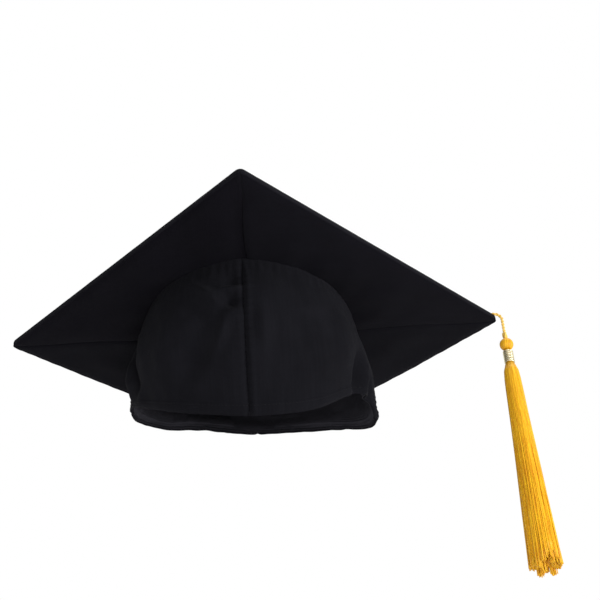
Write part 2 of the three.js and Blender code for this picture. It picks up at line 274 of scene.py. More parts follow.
crown_cloth = cloth_material("crown_cloth", (0.0056, 0.0055, 0.0072))
top_cloth = cloth_material("top_cloth", (0.0060, 0.0058, 0.0078), math.pi / 4)
# Painted shade: the underside's gores are darker copies of the crown's cloth, each a different darkness and
# the front left darkest, standing in for the shade on the board's underside and on each gore's tilt to the
# light.
painted_shade_gore_cloth = {
    "front_left": cloth_material("gore_cloth_front_left", (0.0030, 0.0026, 0.0042), 0.0),
    "front_right": cloth_material("gore_cloth_front_right", (0.0036, 0.0033, 0.0050), math.pi / 2),
    "back_left": cloth_material("gore_cloth_back_left", (0.0034, 0.0032, 0.0047), math.pi / 2),
    "back_right": cloth_material("gore_cloth_back_right", (0.0034, 0.0032, 0.0048), 0.0),
}
# Painted light: casing and lining are lighter copies of the black cloth, standing in for the light on the
# cap's inside; the casing is kept darker than the lining as painted shade that evens out the light its roll
# catches.
painted_light_casing_cloth = cloth_material("painted_light_casing_cloth", (0.0165, 0.0160, 0.0200), 0.3, 0.0004, 0.02)
painted_light_lining_cloth = cloth_material("painted_light_lining_cloth", (0.0210, 0.0203, 0.0250), 0.3, 0.0004, 0.02)
elastic_cloth = cloth_material("elastic_cloth", (0.0065, 0.0065, 0.0075), 0.0, 0.0012, 0.02)
stitch_thread = thread_material("stitch_thread", (0.005, 0.005, 0.006), (0.009, 0.009, 0.011), 0.7, 0.0)
gold_thread = thread_material("gold_thread", (0.55, 0.205, 0.002), (0.82, 0.49, 0.013))
gold_cord = thread_material("gold_cord", (0.66, 0.38, 0.045), (0.84, 0.58, 0.16))
collar_wire = solid_material("collar_wire", (0.80, 0.73, 0.50), 0.34, 1.0, 120)
card = solid_material("board_card", (0.35, 0.27, 0.17), 0.85, 0.0, 700)
steel = solid_material("fastener_steel", (0.6, 0.6, 0.62), 0.35, 1.0, 1200, 0.1)
wood = solid_material("wood_core", (0.55, 0.38, 0.2), 0.6, 0.0, 500, 0.15)

# Mesh helpers


def mesh_object(name, points, faces, uvs, material):
    """A smooth mesh; points are in millimetres, and so are uvs, one for each point."""
    mesh = bpy.data.meshes.new(name)
    mesh.from_pydata((np.asarray(points) * MM).tolist(), [], faces)
    layer = mesh.uv_layers.new(name="cloth")
    corners = np.empty(len(mesh.loops), dtype=np.int64)
    mesh.loops.foreach_get("vertex_index", corners)
    layer.data.foreach_set("uv", (np.asarray(uvs)[corners] * MM).astype(np.float32).ravel())
    mesh.polygons.foreach_set("use_smooth", [True] * len(mesh.polygons))
    mesh.materials.append(material)
    made = bpy.data.objects.new(name, mesh)
    bpy.context.collection.objects.link(made)
    return made


def grid_faces(rows, columns, start=0, around=False):
    """Quads over a grid of points; around joins its last row to its first."""
    faces = []
    for r in range(rows if around else rows - 1):
        s = (r + 1) % rows
        for c in range(columns - 1):
            a, b = start + r * columns + c, start + s * columns + c
            faces.append((a, b, b + 1, a + 1))
    return faces


def ring_faces(count, sides, start=0):
    """Quads between closed rings of points, one ring after another."""
    faces = []
    for r in range(count - 1):
        a, b = start + r * sides, start + (r + 1) * sides
        for s in range(sides):
            t = (s + 1) % sides
            faces.append((a + s, a + t, b + t, b + s))
    return faces


def end_caps(count, sides):
    return [tuple(reversed(range(sides))), tuple(range((count - 1) * sides, count * sides))]


def shell_object(name, outer, inner, uvs, material, around=False):
    """A cloth wall: two grids of points joined round their edges."""
    rows, columns = outer.shape[:2]
    size = rows * columns
    faces = grid_faces(rows, columns, 0, around)
    faces += [face[::-1] for face in grid_faces(rows, columns, size, around)]
    for r in range(rows if around else rows - 1):
        s = (r + 1) % rows
        for c, order in ((0, 1), (columns - 1, -1)):
            a, b = r * columns + c, s * columns + c
            faces.append((a, b, b + size, a + size)[::order])
    if not around:
        for r, order in ((0, -1), (rows - 1, 1)):
            for c in range(columns - 1):
                a = r * columns + c
                faces.append((a, a + 1, a + 1 + size, a + size)[::order])
    points = np.concatenate([outer.reshape(-1, 3), inner.reshape(-1, 3)])
    flat = np.concatenate([uvs.reshape(-1, 2)] * 2)
    made = mesh_object(name, points, faces, flat, material)
    tidy_normals(made)
    return made


def tidy_normals(made):
    """Turns every face outwards."""
    bpy.context.view_layer.objects.active = made
    made.select_set(True)
    bpy.ops.object.mode_set(mode="EDIT")
    bpy.ops.mesh.select_all(action="SELECT")
    bpy.ops.mesh.normals_make_consistent(inside=False)
    bpy.ops.object.mode_set(mode="OBJECT")
    made.select_set(False)


def thicken(made, wall):
    """Gives an open sheet its thickness, inwards."""
    thick = made.modifiers.new("thickness", "SOLIDIFY")
    thick.thickness = wall * MM
    thick.offset = -1


def smoothstep(x, low, high):
    t = np.clip((x - low) / (high - low), 0, 1)
    return t * t * (3 - 2 * t)


def bell(x, middle, width):
    return np.exp(-(((x - middle) / width) ** 2))


def travelled(path):
    """How far along a path each of its points is."""
    return np.concatenate([[0], np.cumsum(np.linalg.norm(np.diff(path, axis=0), axis=1))])


def along(points, step):
    """The same path with points an even step apart."""
    points = np.asarray(points, dtype=float)
    far = travelled(points)
    at = np.linspace(0, far[-1], max(2, int(round(far[-1] / step)) + 1))
    return np.stack([np.interp(at, far, points[:, k]) for k in range(3)], 1)


def path_frames(path):
    """Directions across a path that turn with it as little as they can."""
    tangents = np.gradient(path, axis=0)
    tangents /= np.linalg.norm(tangents, axis=1, keepdims=True)
    side = np.cross(tangents[0], (0.0, 0.0, 1.0))
    if np.linalg.norm(side) < 0.1:
        side = np.cross(tangents[0], (0.0, 1.0, 0.0))
    sides = []
    for tangent in tangents:
        side = side - tangent * side.dot(tangent)
        side /= np.linalg.norm(side)
        sides.append(side)
    sides = np.array(sides)
    return sides, np.cross(tangents, sides)


def tube_data(path, radii, sides=8, phase=0.0):
    """Points, faces and UVs of a closed tube along a path; radii is one number or one for each point."""
    count = len(path)
    a, b = path_frames(path)
    angles = phase + TAU * np.arange(sides) / sides
    rim = a[:, None] * np.cos(angles)[None, :, None] + b[:, None] * np.sin(angles)[None, :, None]
    rings = path[:, None] + rim * np.broadcast_to(radii, count)[:, None, None]
    far_round = np.arange(sides)[None] * TAU * np.mean(radii) / sides
    uvs = np.stack(np.broadcast_arrays(travelled(path)[:, None], far_round), 2)
    faces = ring_faces(count, sides) + end_caps(count, sides)
    return rings.reshape(-1, 3), faces, uvs.reshape(-1, 2)


# How far each tube's UVs are moved from the last one's, so that its colour differs
TUBE_UV_STEP = 37.0


def joined_tubes(name, tubes, material):
    points, faces, uvs = [], [], []
    total = 0
    for k, (tube_points, tube_faces, tube_uvs) in enumerate(tubes):
        points.append(tube_points)
        uvs.append(tube_uvs + np.array([0.0, TUBE_UV_STEP * k]))
        faces += [tuple(i + total for i in face) for face in tube_faces]
        total += len(tube_points)
    return mesh_object(name, np.concatenate(points), faces, np.concatenate(uvs), material)


PLIES = 2
PLY_SHARE = 0.52


def twisted_plies(path, radius, pitch):
    """Thread plies laid round each other so that the whole cord is radius thick."""
    a, b = path_frames(path)
    far = travelled(path)
    ply = radius * PLY_SHARE
    tubes = []
    for k in range(PLIES):
        turn = TAU * (far / pitch + k / PLIES)
        centre = path + (radius - ply) * (a * np.cos(turn)[:, None] + b * np.sin(turn)[:, None])
        tubes.append(tube_data(centre, ply))
    return tubes


# Cords: the looped strand on the button and the twisted cord over the board's corner

STRAND_Z = BOARD_TOP + GAP + STRAND_RADIUS
STRAND_HALF = STRAND_RADIUS + 0.15
MIDWAY = (JOINT_X / 2, (STRAND_HALF + LOOP_RADIUS) / 2)
JOINT_OVERLAP = 0.6
LOOP_STEPS = 16
BEND_STEPS = 12
STRAND_STEP = 0.4
CORD_STEP = 0.35
STRAND_PITCH = 3.2
CORD_PITCH = 5.2
KNOT_WIDTH = 0.46
KNOT_LOBES = 1.6
KNOT_RISE = 1.8
KNOT_STRAND = 0.72
KNOT_POINTS = 90
TAIL_RADIUS = 1.0


def loop_path():
    """From the join along one strand, round behind the button and back along the other."""
    points = [(JOINT_X, STRAND_HALF, STRAND_Z), (*MIDWAY, STRAND_Z)]
    for i in range(LOOP_STEPS + 1):
        angle = math.pi * (0.5 + i / LOOP_STEPS)
        points.append((LOOP_RADIUS * math.cos(angle), LOOP_RADIUS * math.sin(angle), STRAND_Z))
    points += [(MIDWAY[0], -MIDWAY[1], STRAND_Z), (JOINT_X, -STRAND_HALF, STRAND_Z)]
    return along(points, STRAND_STEP)


def cord_path():
    """From the join to past the corner, round a bend and down to the knot."""
    points = [(JOINT_X - JOINT_OVERLAP, 0, CORD_Z), ((JOINT_X + BEND_X) / 2, 0, CORD_Z)]
    for i in range(BEND_STEPS + 1):
        angle = (math.pi / 2) * (i / BEND_STEPS)
        x = BEND_X + BEND_RADIUS * math.sin(angle)
        points.append((x, 0, CORD_Z - BEND_RADIUS * (1 - math.cos(angle))))
    points.append((DROP_X, 0, KNOT_Z + 0.8))
    return along(points, CORD_STEP)


def knot_object():
    """An overhand knot of the cord, drawn tight, and the cord's end below it."""
    turns = np.linspace(0, TAU, KNOT_POINTS)[:-1]
    x = (np.sin(turns) + KNOT_LOBES * np.sin(2 * turns)) * KNOT_WIDTH
    y = (np.cos(turns) - KNOT_LOBES * np.cos(2 * turns)) * KNOT_WIDTH
    z = -np.sin(3 * turns) * KNOT_RISE
    trefoil = np.stack([DROP_X + x, y, KNOT_Z + z], 1)
    tail = along([(DROP_X, 0, KNOT_Z + 1.5), (DROP_X, 0, BALL_Z + 3.9)], 0.3)
    tubes = [tube_data(trefoil, KNOT_STRAND), *twisted_plies(tail, TAIL_RADIUS, STRAND_PITCH)]
    return joined_tubes("knot", tubes, gold_cord)


strand_line = loop_path()
cord_line = cord_path()
strand = joined_tubes("looped_strand", twisted_plies(strand_line, STRAND_RADIUS, STRAND_PITCH), gold_cord)
twisted = joined_tubes("twisted_cord", twisted_plies(cord_line, CORD_RADIUS, CORD_PITCH), gold_cord)
knot = knot_object()
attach(strand, "loop_cord")
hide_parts("tassel_loop")
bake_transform(twisted)
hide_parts("board_cord", "drop_cord")
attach(knot, "knot")
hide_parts("cord_knot")

# Board covers

CORNER_RADIUS = 4.0
RIM_RADIUS = 1.5
RIM_STEPS = 5
COVER_POINTS = 141
COVER_WALL = 0.55
# The turned edge below the rim: how far out and how far down each of its rings is
TURNED_EDGE = (
    (RIM_RADIUS + 0.1, 2.2),
    (RIM_RADIUS + 0.05, 3.0),
    (RIM_RADIUS, 3.8),
    (RIM_RADIUS - 0.3, 4.5),
)
# How far a point's UV moves along the cloth for each millimetre of its height
EDGE_UV_SHARE = 1.125
COVER_PUFF = 0.22
COVER_RUFFLE = 0.1
DIMPLE_DEPTH = 0.5
DIMPLE_WIDTH = 13


def add_cap_piece(made, node_name):
    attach(made, "cap")
    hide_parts(node_name)


def curl(y):
    """How far the board rises towards its back corner."""
    reach = np.maximum(0, y - CURL_START) / (HALF_DIAGONAL - CURL_START)
    return CURL_RISE * reach * reach


def soft_noise(x, y, seed, count=14, low=0.02, high=0.09):
    """Smooth seeded undulation between about -1 and 1."""
    draw = np.random.default_rng(seed)
    total = np.zeros_like(x)
    for _ in range(count):
        turn = draw.uniform(0, TAU)
        rate = draw.uniform(low, high)
        across = x * math.cos(turn) + y * math.sin(turn)
        total += np.sin(rate * across * math.pi + draw.uniform(0, TAU))
    return total / math.sqrt(count)


def along_diagonals(u, v):
    """From places along the board's edges to the frame's x and y, which run along its diagonals."""
    return (u - v) / math.sqrt(2), (u + v) / math.sqrt(2)


def along_edges(x, y):
    return (x + y) / math.sqrt(2), (y - x) / math.sqrt(2)


def round_square(u, v, half, radius):
    """Moves points of a square so that its corners are rounded."""
    edge = half - radius
    du, dv = np.abs(u) - edge, np.abs(v) - edge
    at_corner = (du > 0) & (dv > 0)
    scale = np.maximum(du, dv) / np.maximum(np.hypot(du, dv), 1e-9)
    round_u = np.where(at_corner, np.sign(u) * (edge + du * scale), u)
    round_v = np.where(at_corner, np.sign(v) * (edge + dv * scale), v)
    return round_u, round_v


def edge_spaced(half, count):
    """Places from one edge to the other, closer together near both."""
    t = np.linspace(-1, 1, count)
    return half * np.sign(t) * (1 - (1 - np.abs(t)) ** 1.35)


def square_border(count):
    """The places of a square grid's border points, in order round it."""
    end = count - 1
    border = [(i, 0) for i in range(count)]
    border += [(end, j) for j in range(1, count)]
    border += [(i, end) for i in range(end - 1, -1, -1)]
    border += [(0, j) for j in range(end - 1, 0, -1)]
    return np.array([i * count + j for i, j in border])


def outwards(u, v):
    """The level direction out of the board at points on its border."""
    limit = SIDE / 2 - CORNER_RADIUS
    du, dv = u - np.clip(u, -limit, limit), v - np.clip(v, -limit, limit)
    reach = np.maximum(np.hypot(du, dv), 1e-9)
    x, y = along_diagonals(du / reach, dv / reach)
    return np.stack([x, y, 0 * x], 1)


def top_cover():
    """The board's cloth top, turned down round the edge over a soft rounded rim."""
    half = SIDE / 2
    places = edge_spaced(half - RIM_RADIUS, COVER_POINTS)
    u, v = np.meshgrid(places, places, indexing="ij")
    u, v = round_square(u, v, half - RIM_RADIUS, CORNER_RADIUS - RIM_RADIUS)
    x, y = along_diagonals(u, v)
    puff = COVER_PUFF * soft_noise(x, y, 3) + COVER_RUFFLE * soft_noise(x, y, 4, 16, 0.1, 0.25)
    inset = np.minimum(half - np.abs(u), half - np.abs(v))
    dimple = DIMPLE_DEPTH * bell(np.hypot(x, y), 0, DIMPLE_WIDTH)
    z = BOARD_TOP + curl(y) + puff * smoothstep(inset, 2, 20) - dimple
    flat = np.stack([x, y, z], 2).reshape(-1, 3)
    last = square_border(COVER_POINTS)
    edge = flat[last]
    out = outwards(u.reshape(-1)[last], v.reshape(-1)[last])
    number = np.arange(len(edge))
    ripple = 0.12 * np.sin(number * 0.9) + 0.1 * np.sin(number * 0.37)
    turns = np.linspace(0.25, math.pi / 2, RIM_STEPS)
    rim = [(math.sin(a) * RIM_RADIUS, (1 - math.cos(a)) * RIM_RADIUS) for a in turns]
    points = [flat]
    faces = grid_faces(COVER_POINTS, COVER_POINTS)
    total = len(flat)
    for push, down in (*rim, *TURNED_EDGE):
        points.append(edge + out * (push + ripple * down / 4)[:, None] - np.array([0, 0, down]))
        new = np.arange(total, total + len(edge))
        for k in range(len(edge)):
            m = (k + 1) % len(edge)
            faces.append((int(last[k]), int(last[m]), int(new[m]), int(new[k])))
        last = new
        total += len(edge)
    points = np.concatenate(points)
    uvs = points[:, :2] + points[:, 2:] * [[0, EDGE_UV_SHARE]]
    made = mesh_object("top_cover_cloth", points, faces, uvs, top_cloth)
    tidy_normals(made)
    thicken(made, COVER_WALL)
    return made


# How far the underside is drawn down at the skullcap's join, and how far it lies below the board elsewhere
SAG = 1.6
UNDERSIDE_DROP = 0.9
SEAM_TUCK = 0.8
SEAM_DIP = 0.5
FRONT_LEFT_POCKET = 1.3
RIPPLE_HEIGHT = 0.35
RAY_HEIGHT = 0.18
RAY_RATE = 22
EDGE_ROLL = 0.225
SEAM_WANDER = 1.3
# Half the width and depth of the skullcap's join with the underside
JOIN_HALF = (72.0, 87.5)
GORE_POINTS = 90
GORE_WALL = 0.5
GORE_HALF = SIDE / 2 - 0.1
GORE_CORNER_RADIUS = CORNER_RADIUS - 0.8
QUARTERS = {"front_right": (1, -1), "front_left": (-1, -1), "back_left": (-1, 1), "back_right": (1, 1)}


def gore(place, sx, sy):
    """A triangular gore of the underside, tucked in at its seams and drawn down by the skullcap."""
    s, t = np.meshgrid(np.linspace(0, 1, GORE_POINTS), np.linspace(0, 1, GORE_POINTS), indexing="ij")
    reach = HALF_DIAGONAL * s ** 0.9
    u, v = along_edges(sx * reach * (1 - t), sy * reach * t)
    u, v = np.clip(u, -GORE_HALF, GORE_HALF), np.clip(v, -GORE_HALF, GORE_HALF)
    u, v = round_square(u, v, GORE_HALF, GORE_CORNER_RADIUS)
    x, y = along_diagonals(u, v)
    by_middle_seam = np.abs(x) < np.abs(y)
    seam = np.minimum(np.abs(x), np.abs(y))
    edge = GORE_HALF - np.maximum(np.abs(u), np.abs(v))
    out = np.hypot(x / JOIN_HALF[0], y / JOIN_HALF[1])

    tuck_depth = np.where(by_middle_seam, 1.0, 0.45 if sx > 0 else 0.8)
    tuck = tuck_depth * (SEAM_TUCK * bell(seam, 0, 1.4) + SEAM_DIP * bell(seam, 0, 5))
    if place == "front_left":
        tuck = tuck + FRONT_LEFT_POCKET * bell(seam, 3, 8) * by_middle_seam
    pull = SAG * bell(out, 1.0, 0.75) * smoothstep(edge, 0, 35)
    seed = 11 + 2 * (sx > 0) + (sy > 0)
    ripple = RIPPLE_HEIGHT * soft_noise(x, y, seed, 12, 0.02, 0.07) * smoothstep(edge, 0, 25)
    rays = RAY_HEIGHT * np.sin(np.arctan2(y, x) * RAY_RATE + 2 * np.sin(out * 5)) * bell(out, 1.08, 0.22)
    down = pull + ripple * smoothstep(seam, 0, 12) + rays - tuck + UNDERSIDE_DROP
    rolled_edge = EDGE_ROLL * smoothstep(2.5 - edge, 0, 2.5)
    z = curl(y) - np.maximum(down, 0.0) * smoothstep(edge, -1, 6) + rolled_edge

    wander = SEAM_WANDER * np.sin(0.045 * (np.abs(x) + np.abs(y)))
    shift = wander * bell(seam, 0, 9) * smoothstep(out, 0.9, 1.2) * smoothstep(edge, 3, 30)
    x = x + np.where(by_middle_seam, shift, 0.0)
    y = y + np.where(by_middle_seam, 0.0, shift * 1.4)
    outer = np.stack([x, y, z], 2)
    inner = outer + np.array([0, 0, GORE_WALL])
    return shell_object(f"underside_cloth_{place}", outer, inner, outer[..., :2], painted_shade_gore_cloth[place])


add_cap_piece(top_cover(), "top_cover")
for quarter, (right_side, back_side) in QUARTERS.items():
    add_cap_piece(gore(quarter, right_side, back_side), f"underside_gore_{quarter}")

# Skullcap: rings from the join to the hem, as in the frame, with the cloth's folds laid over them
# Places round it are in degrees from the front, right of it positive; places down it go from 0 to 1

RINGS = (
    {"half": 72, "front": -88.5, "back": 86, "z_front": -0.4, "z_back": -0.4, "power": 1.0, "shift": -4.0},
    {"half": 81, "front": -84, "back": 83, "z_front": -50, "z_back": -22, "power": 1.2, "shift": -3.5},
    {"half": 81, "front": -59, "back": 72, "z_front": -97.3, "z_back": -41.5, "power": 1.7, "shift": -3.0},
)
LEAN = 0.05
WALL = 1.3
# How far the cloth's UVs go for one radian round it, and for the whole way down
CROWN_REACH = 80
CROWN_HEIGHT = 98
CROWN_MIDDLE = np.array([0.0, -5.0, -40.0])


def crown_ring(ring, angle, weight):
    middle, reach = (ring["front"] + ring["back"]) / 2, (ring["back"] - ring["front"]) / 2
    ahead = ((1 + np.cos(angle)) / 2) ** ring["power"]
    x = ring["half"] * np.sin(angle) + ring["shift"]
    z = ring["z_back"] + (ring["z_front"] - ring["z_back"]) * ahead - LEAN * weight * x
    return np.stack([x, middle - reach * np.cos(angle), z], -1)


def crown_base(angle, down):
    """The plain shape: a smooth curve down through the three rings."""
    weights = (2 * (down - 0.5) * (down - 1), -4 * down * (down - 1), 2 * down * (down - 0.5))
    total = 0
    for ring, weight, lean in zip(RINGS, weights, (0.0, 0.5, 1.0)):
        total = total + crown_ring(ring, angle, lean) * weight[..., None]
    return total


def wrapped(degrees):
    """The same place round, from -180 to 180."""
    return (degrees + 180) % 360 - 180


# How far the hem lies above its plain ring, at those places round
HEM_LIFT = (
    (-180, 0.8), (-160, 0), (-145, -1.4), (-125, -5.2), (-106, -6.2), (-94, -4), (-86, 2.5), (-60, 1),
    (-22, -2), (0, -3), (24, -1), (36, 2), (47, 8), (60, 11), (70, 9), (79, 2), (88, -6), (104, -11),
    (112, -11), (125, -7.7), (145, -2.2), (160, -0.5), (180, 0.8),
)


def hem_lift(degrees):
    """The lift smoothed over a few degrees."""
    places, lifts = zip(*HEM_LIFT)
    offsets = np.linspace(-6, 6, 7)
    return sum(np.interp(wrapped(degrees + o), places, lifts) for o in offsets) / len(offsets)


# Folds: place round, place down, width round, width down, slant and height, which is negative for a hollow
FOLDS = (
    (-6, 0.17, 4.5, 0.07, 0.0, -2.4),
    (-7, 0.33, 5.0, 0.060, 0.0, -4.2),
    (-5, 0.235, 6.0, 0.020, 0.0, 2.0),
    (-15, 0.27, 3.4, 0.10, 70.0, 2.8),
    (-21, 0.38, 5.0, 0.12, 60.0, -2.0),
    (-22, 0.64, 10.0, 0.16, -20.0, -4.6),
    (-11, 0.54, 3.4, 0.16, -30.0, 2.4),
    (-40, 0.55, 8.0, 0.20, 0.0, 2.0),
    (-58, 0.50, 9.0, 0.22, 0.0, 1.8),
    (-70, 0.60, 4.0, 0.24, 22.0, -5.0),
    (-80, 0.58, 4.5, 0.28, 14.0, 3.0),
    (-62, 0.90, 4.0, 0.08, 0.0, 2.0),
    (16, 0.24, 7.0, 0.14, 30.0, 1.6),
    (24, 0.45, 5.0, 0.20, 20.0, -1.2),
    (34, 0.70, 12.0, 0.20, 0.0, 2.0),
    (50, 0.55, 6.0, 0.24, -12.0, 2.0),
    (60, 0.78, 3.2, 0.24, -14.0, -4.6),
    (66, 0.80, 3.0, 0.22, -12.0, 2.8),
    (74, 0.86, 2.6, 0.18, -8.0, -3.4),
    (8, 0.5, 3.5, 0.3, 0.0, 1.4),
)
FOLD_STRENGTH = 1.5
# Seams: place round, and the groove's depth and width; the back one is met from both sides
SEAMS = ((0, 1.6, 1.3), (90, 0.7, 1.0), (-90, 0.7, 1.0), (180, 0.7, 1.0), (-180, 0.7, 1.0))
CASING_TOP = 0.845
CASING_STITCHES = 0.862
CASING_MIDDLE = 0.915
CASING_END = 0.97
HEM_STITCHES = 0.944
# Places round between which the front's hem ends, and the back's gathers begin
HEM_ENDS = (98, 84)
GATHERS_BEGIN = (84, 112)
# Distances that the waves' rates are for: one degree round, and the whole way down
WAVES_ROUND = 1.3
WAVES_DOWN = 95


def undulation(degrees, down):
    """Broad waves of the cloth and small ones."""
    x, y = degrees * WAVES_ROUND, down * WAVES_DOWN
    return 0.9 * soft_noise(x, y, 21, 16, 0.012, 0.05) + 0.28 * soft_noise(x, y, 22, 18, 0.06, 0.18)


def folds(degrees, down):
    total = 0
    for place, level, wide, tall, slant, height in FOLDS:
        across = degrees - place - slant * (down - level)
        total = total + FOLD_STRENGTH * height * bell(across, 0, wide) * bell(down, level, tall)
    return total


def seam_relief(degrees, down):
    """A groove at each seam with puckers across it, and a ridge beside the front and side ones."""
    total = 0
    for place, depth, width in SEAMS:
        off = degrees - place
        pucker = 0.24 * np.sin(down * 120) * bell(off, 0, 4.0) * smoothstep(down, 0.99, 0.9)
        ridge = 0.55 * bell(off, 2.2, 1.4) * (np.abs(degrees) < 100)
        total = total + pucker - depth * bell(off, 0, width) + ridge
    return total


def join_gathers(degrees, down):
    """Small gathers where the cloth is sewn to the underside."""
    return 0.4 * np.sin(degrees * 1.35 + 3 * np.sin(degrees * 0.11)) * bell(down, 0.03, 0.08)


def back_gathers(degrees, down, from_back_seam):
    """Ruffles drawn up by the elastic, and the swell and stitching of its casing."""
    phase = degrees * 0.52 + 1.6 * np.sin(degrees * 0.13) + 0.8 * np.sin(degrees * 0.31)
    ruffle = 1.5 * np.sin(phase + 0.5 * np.sin(down * 9))
    ruffle = ruffle * smoothstep(down, 0.3, 0.8) * smoothstep(down, 0.97, 0.83)
    crimp = 0.22 * np.sin(phase * 2.3) * bell(down, 0.82, 0.08)
    stitching = 0.7 * (bell(down, CASING_STITCHES, 0.008) + bell(down, CASING_END, 0.007))
    swell = 0.9 * bell(down, CASING_MIDDLE, 0.045)
    relief = from_back_seam * (ruffle + crimp) - stitching + swell
    return smoothstep(np.abs(degrees), *GATHERS_BEGIN) * relief


def front_hem(degrees, down):
    """The step of the turned hem and the line of its stitches."""
    relief = 0.55 * smoothstep(down, 0.928, 0.936) - 0.35 * bell(down, HEM_STITCHES, 0.004)
    return smoothstep(np.abs(degrees), *HEM_ENDS) * relief


def crown_push(angle, down):
    """How far the cloth stands out from its plain shape."""
    degrees = wrapped(np.degrees(angle))
    from_back_seam = smoothstep(180 - np.abs(degrees), 0, 12)
    push = undulation(degrees, down) * from_back_seam
    push = push + folds(degrees, down) + seam_relief(degrees, down) + join_gathers(degrees, down)
    push = push * smoothstep(down, -0.03, 0.12)
    push = push + back_gathers(degrees, down, from_back_seam) + front_hem(degrees, down)
    flare = 2.8 * bell(np.abs(degrees), 97, 13) * smoothstep(down, 0.72, 0.97)
    return push + flare - 0.7 * smoothstep(down, 0.98, 1.0)


# How closely the lining follows the cloth, how far round and down it looks, and how far it stays inside
SOFTNESS = 0.35
LINING_ROUND = 6
LINING_DOWN = 0.03
LINING_GAP = 0.6


def lining_push(angle, down):
    """A smooth surface just inside the cloth's folds and gathers, which meets the cloth at the rim."""
    level = np.clip(down, 0.0, 0.96)
    turns = np.radians(np.linspace(-LINING_ROUND, LINING_ROUND, 7))
    steps = (-LINING_DOWN, 0, LINING_DOWN)
    near = np.array([crown_push(angle + turn, level + step) for turn in turns for step in steps])
    inside = -SOFTNESS * np.log(np.mean(np.exp(-near / SOFTNESS), axis=0)) - LINING_GAP
    to_rim = smoothstep(down, 0.9, 0.98)
    return inside + (np.maximum(crown_push(angle, down), inside) - inside) * to_rim


def crown_grid(angles, levels, depth=0.0, push=crown_push):
    """Points at those angles and levels, depth inside the pushed surface, and their UVs."""
    step = 0.004
    a, d = np.meshgrid(angles, levels, indexing="ij")
    base = crown_base(a, d)
    round_way = crown_base(a + step, d) - crown_base(a - step, d)
    down_way = crown_base(a, d + step) - crown_base(a, d - step)
    normal = np.cross(round_way, down_way)
    normal /= np.linalg.norm(normal, axis=2, keepdims=True)
    normal *= np.sign(((base - CROWN_MIDDLE) * normal).sum(2, keepdims=True))
    points = base + normal * (push(a, d) - depth)[..., None]
    points[..., 2] += hem_lift(wrapped(np.degrees(a))) * smoothstep(d, 0.45, 1.0)
    return points, np.stack([a * CROWN_REACH, d * CROWN_HEIGHT], 2)


STRIP_INSET = 0.55
CASING_INSET = 1.1
LINING_INSET = 0.1
OVER_CASING = 1.75


def strip_depth(angle, down):
    """Tape, facing and elastic lie just inside the cloth."""
    return WALL + STRIP_INSET + 0 * down


def casing_depth(angle, down):
    """The casing lies over the elastic and closes on the rim."""
    closed = 0.9 * smoothstep(down, 0.955, 1.0)
    return (WALL + CASING_INSET) * (1 - closed) - 0.5 * smoothstep(down, 0.89, CASING_TOP)


def lining_depth(angle, down):
    """The lining lies on the cloth, passes over the casing at the back and closes on the rim."""
    from_front = np.abs(wrapped(np.degrees(angle)))
    over_casing = smoothstep(from_front, 84, 94) * smoothstep(down, 0.45, 0.86)
    closed = 0.85 * smoothstep(down, 0.93, 1.0)
    return (WALL + LINING_INSET + OVER_CASING * over_casing) * (1 - closed)


def crown_strip(name, round_way, down_way, shape, wall, material, depth=None):
    """
    A strip of the skullcap's wall between two places round and two down, of shape rows and columns.
    depth gives how far it lies inside the cloth's folds; without it the strip is the cloth itself.
    """
    around = round_way == (0, 360)
    angles = np.radians(np.linspace(*round_way, shape[0], endpoint=not around))
    levels = np.linspace(*down_way, shape[1])
    push = lining_push if depth else crown_push
    depths = np.zeros(shape)
    if depth:
        depths += depth(*np.meshgrid(angles, levels, indexing="ij"))
    outer, uvs = crown_grid(angles, levels, depths, push)
    inner, _ = crown_grid(angles, levels, depths + wall, push)
    return shell_object(name, outer, inner, uvs, material, around)


STRIP_WALL = 0.6
LINING_WALL = 0.4
LINING_SHAPE = (360, 110)
PANEL_GAP = 0.08
PANEL_SHAPE = (181, 170)
PANELS = {"front_right": 0, "back_right": 90, "back_left": 180, "front_left": 270}
# The frame node, what its cloth's name ends in, places round and down, rows and columns, slot and material
STRIPS = (
    ("join_tape", "cloth", (0, 360), (0.015, 0.1), (360, 8), "black_lining", painted_light_lining_cloth),
    ("front_hem_facing", "cloth", (-86, 86), (0.9, 0.992), (240, 10), "black_lining", painted_light_lining_cloth),
    ("elastic_band", "web", (95, 265), (0.895, 0.975), (260, 12), "black_elastic", elastic_cloth),
    ("elastic_casing", "cloth", (94, 266), (CASING_TOP, 0.999), (340, 26), "black_lining", painted_light_casing_cloth),
)
for panel, start in PANELS.items():
    sector = (start + PANEL_GAP, start + 90 - PANEL_GAP)
    cloth = crown_strip(f"crown_cloth_{panel}", sector, (0.0, 1.0), PANEL_SHAPE, WALL, crown_cloth)
    add_cap_piece(cloth, f"crown_panel_{panel}")
for node_name, ending, round_way, down_way, shape, slot_name, material in STRIPS:
    depth = casing_depth if node_name == "elastic_casing" else strip_depth
    name = f"{node_name}_{ending}"
    strip = crown_strip(name, round_way, down_way, shape, STRIP_WALL, material, depth)
    add_cap_piece(strip, node_name)

lining = crown_strip("skullcap_lining", (0, 360), (0.07, 0.996), LINING_SHAPE, LINING_WALL, painted_light_lining_cloth,
                     lining_depth)
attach(lining, "cap")

STITCH_RADIUS = 0.16
# How far a stitch's points stand out of the cloth, from end to end
STITCH_BOW = (-0.15, 0.1, 0.13, 0.1, -0.15)


